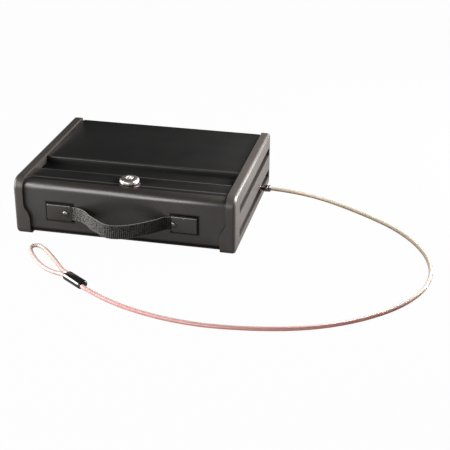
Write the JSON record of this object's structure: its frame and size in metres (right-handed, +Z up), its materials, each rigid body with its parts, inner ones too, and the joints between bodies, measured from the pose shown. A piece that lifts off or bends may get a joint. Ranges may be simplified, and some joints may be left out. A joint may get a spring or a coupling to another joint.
{
  "type": "portable car safe",
  "caption": "Slim steel lock box with moulded end caps, a hinged lid with a finger channel and key lock, a carry strap and a security cable ending in an eye.",
  "frame": {"origin": "on the ground below the middle of the safe with its carry strap", "axes": "+X to the safe's right as seen from the strap side, +Y towards the hinge, +Z up"},
  "size_m": [0.5687, 0.4458, 0.0855],
  "materials": {
    "body_paint": "satin",
    "lid_paint": "fine textured satin",
    "cap_plastic": "satin moulded",
    "chrome": "polished",
    "zinc_steel": "zinc plated",
    "black_steel": "black zinc",
    "foam": "matte foam",
    "rubber": "matte",
    "webbing": "woven",
    "cable_jacket": "clear vinyl over steel rope",
    "sleeve_black": "gloss"
  },
  "bodies": {
    "case": {"body_shell": "body_paint", "end_plate_left": "body_paint", "end_plate_right": "body_paint", "end_cap_left": "cap_plastic", "end_cap_right": "cap_plastic", "cap_screw_left_1": "zinc_steel", "cap_screw_left_2": "zinc_steel", "cap_screw_left_3": "zinc_steel", "cap_screw_left_4": "zinc_steel", "cap_screw_right_1": "zinc_steel", "cap_screw_right_2": "zinc_steel", "cap_screw_right_3": "zinc_steel", "cap_screw_right_4": "zinc_steel", "floor_pad": "foam", "strike_angle": "zinc_steel", "lid_bumper_left": "rubber", "lid_bumper_right": "rubber", "hinge_leaf_body": "lid_paint", "hinge_pin": "zinc_steel", "handle_strap": "webbing", "handle_plate_left": "cap_plastic", "handle_plate_right": "cap_plastic", "handle_screw_left": "black_steel", "handle_screw_right": "black_steel", "handle_nut_left": "zinc_steel", "handle_nut_right": "zinc_steel", "cable_anchor": "chrome", "cable_run": "cable_jacket", "loop_sleeve": "sleeve_black", "cable_loop": "cable_jacket"},
    "lid": {"lid_panel": "lid_paint", "lid_pad": "foam", "hinge_leaf_lid": "lid_paint", "lock_housing": "chrome", "lock_washer": "zinc_steel", "lock_nut": "zinc_steel"},
    "lock_core": {"lock_plug": "chrome", "lock_cam": "zinc_steel", "cam_screw": "zinc_steel"}
  },
  "joints": [
    {"name": "lid_hinge", "type": "hinge", "parent": "case", "child": "lid", "pos_m": [0, 0.14435, 0.0758], "axis": [-1, 0, 0], "range_deg": [0, 100]},
    {"name": "lock_turn", "type": "hinge", "parent": "lid", "child": "lock_core", "pos_m": [0.001, -0.07355, 0.0725], "axis": [0, 0, 1], "range_deg": [0, 90]}
  ]
}
